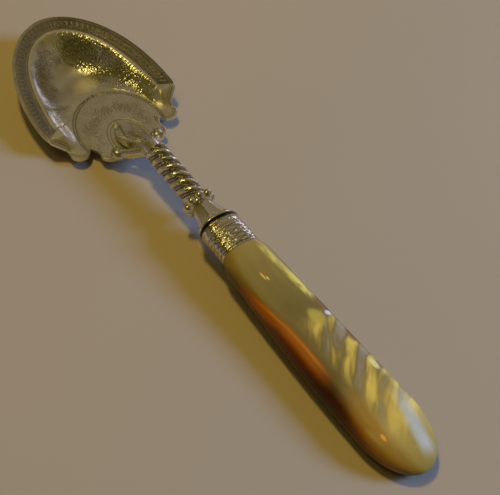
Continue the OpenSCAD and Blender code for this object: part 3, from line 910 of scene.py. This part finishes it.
def pearl(scene):
    """Mother-of-pearl: olive nacre with bright layers, an amber and bark edge on the left, and a painted
    highlight and painted glints.
    """
    settings = scene.spoon_handle
    n = Surface("Mother Of Pearl")
    axes = n.add("ShaderNodeSeparateXYZ")
    n.link(n.place, axes.inputs[0])
    x, y, z = axes.outputs
    front, span, slope, level = 0.0126, 0.0637, 0.0524, 0.006832
    across_y, across_z, half, widening = 0.891, 0.454, 0.0057, 0.0018
    u = n.math("DIVIDE", n.math("SUBTRACT", x, front), span)
    rise = n.math("MULTIPLY_ADD", x, slope, n.math("SUBTRACT", z, level))
    side = n.math("MULTIPLY_ADD", y, across_y, n.math("MULTIPLY", rise, across_z))
    v = n.math("DIVIDE", side, n.math("MULTIPLY_ADD", u, widening, half))
    grain = n.noise(230, 4, (0.25, 1, 1))
    v = n.math("MULTIPLY_ADD", n.math("SUBTRACT", grain, 0.5), 0.22, v)
    shift = [(0, 0.15), (0.1, 0.2), (0.17, 0.26), (0.34, 0.56), (0.53, 0.59), (0.69, 0.51), (0.85, 0.35),
             (1, 0.2)]
    border = n.math("SUBTRACT", n.ramp(u, [(at, (grey, grey, grey)) for at, grey in shift]), 1.0)
    past = n.math("SUBTRACT", v, border)
    nacre, amber, bark = tuple(settings.pearl), tuple(settings.amber), tuple(settings.bark)
    right = n.ramp(u, [(0, (0.23, 0.165, 0.04)), (0.3, nacre), (0.6, nacre), (0.85, (0.36, 0.26, 0.063)),
                       (1, (0.27, 0.18, 0.04))])
    left = n.ramp(u, [(0, (0.10, 0.075, 0.02)), (0.25, (0.10, 0.045, 0.008)), (0.42, bark),
                      (0.62, (0.03, 0.006, 0.001)), (0.72, (0.05, 0.013, 0.001)),
                      (0.86, (0.16, 0.06, 0.004)), (1, (0.24, 0.13, 0.012))])
    colour = n.blend(n.step(past, -0.16, 0.26), left, right)

    def lay(share, shade, amount):
        """Lay a shade over the colour where share is 1."""
        nonlocal colour
        colour = n.blend(n.math("MULTIPLY", share, amount, clamp=True), colour, shade)

    stripes = (
        ((-0.42, -0.14, -0.02, 0.18), (0.08, 0.22, 0.5, 0.64), amber, 0.8),
        ((-0.08, -0.02, 0.0, 0.06), (0.14, 0.26, 0.5, 0.6), (0.52, 0.22, 0.01), 0.3),
        ((-0.3, 0.0, 0.25, 0.6), (0.6, 0.8, 1.0, 1.2), (0.26, 0.12, 0.01), 0.7),
    )
    for past_window, u_window, shade, amount in stripes:
        lay(n.math("MULTIPLY", n.window(past, *past_window), n.window(u, *u_window)), shade, amount)
    drift = n.math("MULTIPLY_ADD", u, -0.5, v)
    flash = n.math("MULTIPLY", n.window(drift, 0.54, 0.67, 0.74, 0.86), n.window(u, 0.01, 0.08, 0.26, 0.36))
    lay(n.math("MULTIPLY", flash, n.step(n.noise(700, 3, (0.35, 1, 1)), 0.3, 0.6)), (0.56, 0.44, 0.075), 0.95)
    streak = n.math("MULTIPLY_ADD", v, 0.125, u)
    wave = n.add("ShaderNodeTexNoise", noise_dimensions="2D")
    flow = n.add("ShaderNodeCombineXYZ")
    n.put(flow.inputs[0], n.math("MULTIPLY", streak, 17))
    n.put(flow.inputs[1], n.math("MULTIPLY", v, 0.9))
    n.link(flow.outputs[0], wave.inputs["Vector"])
    wave.inputs["Scale"].default_value = 1.0
    wave.inputs["Distortion"].default_value = 0.25
    late = n.math("MULTIPLY", n.window(u, 0.34, 0.42, 0.84, 0.92), n.step(v, -0.25, 0.25))
    lay(n.math("MULTIPLY", n.step(wave.outputs["Fac"], 0.42, 0.7), late), (0.56, 0.40, 0.075), 0.85)
    lay(n.math("MULTIPLY", n.step(wave.outputs["Fac"], 0.5, 0.3), late), (0.25, 0.195, 0.125), 0.7)
    # Painted highlight: a slanted pale patch near the handle's end
    slant = n.math("ABSOLUTE", n.math("SUBTRACT", n.math("MULTIPLY_ADD", u, 2.1, v), 2.40))
    painted_highlight = n.math("MULTIPLY", n.step(slant, 0.27, 0.03), n.window(u, 0.70, 0.84, 0.93, 0.985))
    lay(painted_highlight, (0.37, 0.38, 0.335), 0.9)
    # Dark marks in the shell, and bright flecks that are painted glints
    for centre, size, shade in PEARL_MARKS_AND_GLINTS:
        lay(n.spot(u, v, centre, size), shade, 0.9)
    lay(n.math("MULTIPLY", n.step(u, 0.86, 0.98), n.step(v, 0.15, -0.3)), (0.22, 0.12, 0.012), 0.8)
    cloudy = n.math("MULTIPLY_ADD", n.noise(420, 5, (0.2, 1, 1)), 0.5, 0.75)
    n.put(n.shader.inputs["Base Color"], n.blend(1.0, colour, cloudy, "MULTIPLY"))
    n.shader.inputs["Roughness"].default_value = 0.27
    n.shader.inputs["Specular IOR Level"].default_value = 0.35
    n.bump(n.noise(420, 4, (0.15, 1, 1)), 0.00003, 0.4)
    return n.material


class SPOON_OT_handle(bpy.types.Operator):
    """Build the flattened pearl handle"""

    bl_idname = "spoon.handle"
    bl_label = "Pearl Handle"

    def execute(self, context):
        m = Measures(context.scene)
        body = m.shows - m.end_l
        first = m.shoulder * (1 - np.cos(np.linspace(0, math.pi / 2, 12)))
        last = m.shows - m.end_l * (1 - np.sin(np.linspace(0, math.pi / 2 - 0.02, 36)))
        stations = [*first, *np.linspace(m.shoulder, body, 60)[1:], *last[1:]]

        def grip(co):
            x, inner = co[:, 0], np.hypot(co[:, 1], co[:, 2])
            angle = np.arctan2(co[:, 2], co[:, 1])
            end = np.sqrt(np.clip(1 - ((x - body) / m.end_l) ** 2, 0.0001, 1))
            early = x < m.shoulder
            shoulder = np.sin(np.clip(x / m.shoulder, 0, 1) * math.pi / 2)
            swell = np.sin(np.clip((x - m.shoulder) / (body - m.shoulder), 0, 1) * math.pi / 2)
            half = np.where(early, mix(4.9, m.front, shoulder), mix(m.front, m.end, swell))
            half = half * np.where(x > body, end, 1)
            rise = np.where(early, mix(3.15, m.thick, shoulder), m.thick) * np.where(x > body, end, 1)
            sag = np.where(x < body, 0.8 * np.sin(math.pi * np.clip(x / body, 0, 1)), 0)
            y = half * power(np.cos(angle), 0.8) * inner
            z = rise * power(np.sin(angle), 0.8) * inner - sag
            return m.on_axis(np.stack([m.handle_at + x, y, z], 1)), {}

        obj = piece(lathe(capped(stations), 120), "handle", grip)
        seat(obj, "handle", pearl(context.scene))
        return {"FINISHED"}


def lamp(name, place, size, colour, watts):
    """A square lamp that faces the spoon's middle and isn't seen in reflections."""
    data = bpy.data.lights.new(name, "AREA")
    data.size, data.energy, data.color = size, watts, colour
    obj = bpy.data.objects.new(name, data)
    obj.location = place
    obj.rotation_euler = (-Vector(place)).to_track_quat("-Z", "Y").to_euler()
    obj.visible_glossy = False
    bpy.context.collection.objects.link(obj)


def photo_camera(context):
    """The camera at the photo's angle."""
    ahead = Vector(CAMERA_AHEAD).normalized()
    turn, roll = math.radians(CAMERA_TURN), math.radians(CAMERA_ROLL)
    level = Vector((math.cos(turn), math.sin(turn), 0))
    over = level.cross(ahead)
    right = level * math.cos(roll) + over * math.sin(roll)
    up = over * math.cos(roll) - level * math.sin(roll)
    data = bpy.data.cameras.new("photo_camera")
    data.sensor_fit, data.sensor_width, data.lens = "HORIZONTAL", CAMERA_SENSOR, CAMERA_LENS
    data.clip_start, data.clip_end = 0.01, 20
    camera = bpy.data.objects.new("photo_camera", data)
    turned = Matrix((right, up, -ahead)).transposed().to_4x4()
    camera.matrix_world = Matrix.Translation(CAMERA_PLACE) @ turned
    context.collection.objects.link(camera)
    context.scene.camera = camera


def room(world, floor):
    """A dim warm room with glows that stand for the lamps; the camera sees the floor's colour."""
    n = Nodes(world.node_tree, "Generated")
    colour = ROOM_COLOUR
    for way, start, full, shade in ROOM:
        dot = n.add("ShaderNodeVectorMath", operation="DOT_PRODUCT")
        n.link(n.place, dot.inputs[0])
        dot.inputs[1].default_value = Vector(way).normalized()
        colour = n.blend(n.step(dot.outputs["Value"], start, full), colour, shade)
    colour = n.blend(n.add("ShaderNodeLightPath").outputs["Is Camera Ray"], colour, floor)
    back = n.add("ShaderNodeBackground")
    n.put(back.inputs["Color"], colour)
    n.link(back.outputs[0], n.add("ShaderNodeOutputWorld").inputs["Surface"])


class SPOON_OT_stage(bpy.types.Operator):
    """Build the floor, the lamps and the camera"""

    bl_idname = "spoon.stage"
    bl_label = "Stage"

    def execute(self, context):
        settings = context.scene.spoon_stage
        bm = bmesh.new()
        bmesh.ops.create_grid(bm, x_segments=4, y_segments=4, size=2)
        mesh = bpy.data.meshes.new("floor")
        bm.to_mesh(mesh)
        bm.free()
        floor = bpy.data.objects.new("floor", mesh)
        context.collection.objects.link(floor)
        n = Surface("Floor")
        colour = tuple(settings.floor)
        faded = tuple(0.96 * c for c in colour)
        n.put(n.shader.inputs["Base Color"], n.blend(n.step(n.noise(9, 3), 0.3, 0.7), faded, colour))
        n.shader.inputs["Roughness"].default_value = 0.9
        n.shader.inputs["Specular IOR Level"].default_value = 0.15
        mesh.materials.append(n.material)
        lamp("warm_lamp", *WARM_LAMP, settings.warm_power)
        lamp("cool_lamp", *COOL_LAMP, settings.cool_power)
        world = bpy.data.worlds.new("Soft Room")
        world.use_nodes = True
        room(world, colour)
        context.scene.world = world
        photo_camera(context)
        context.scene.view_settings.view_transform = "Standard"
        return {"FINISHED"}


PIECES = (SPOON_OT_bowl, SPOON_OT_root, SPOON_OT_rope, SPOON_OT_collar, SPOON_OT_ferrule, SPOON_OT_handle,
          SPOON_OT_stage)
GROUPS = {"spoon_bowl": SpoonBowl, "spoon_stem": SpoonStem, "spoon_handle": SpoonHandle,
          "spoon_stage": SpoonStage}


class SPOON_PT_panel(bpy.types.Panel):
    """Sizes and pieces of the jam spoon"""

    bl_idname = "SPOON_PT_panel"
    bl_label = "Jam Spoon"
    bl_space_type = "VIEW_3D"
    bl_region_type = "UI"
    bl_category = "Jam Spoon"

    def draw(self, context):
        for key, group in GROUPS.items():
            box = self.layout.box()
            for field in group.__annotations__:
                box.prop(getattr(context.scene, key), field)
        for operator in PIECES:
            self.layout.operator(operator.bl_idname)


CLASSES = (*GROUPS.values(), *PIECES, SPOON_PT_panel)


def register():
    for cls in CLASSES:
        bpy.utils.register_class(cls)
    for key, group in GROUPS.items():
        setattr(bpy.types.Scene, key, PointerProperty(type=group))


def unregister():
    for key in GROUPS:
        delattr(bpy.types.Scene, key)
    for cls in reversed(CLASSES):
        bpy.utils.unregister_class(cls)


def main():
    register()
    bpy.ops.spoon.bowl()
    bpy.ops.spoon.root()
    bpy.ops.spoon.rope()
    bpy.ops.spoon.collar()
    bpy.ops.spoon.ferrule()
    bpy.ops.spoon.handle()
    bpy.ops.spoon.stage()


if __name__ == "__main__":
    main()
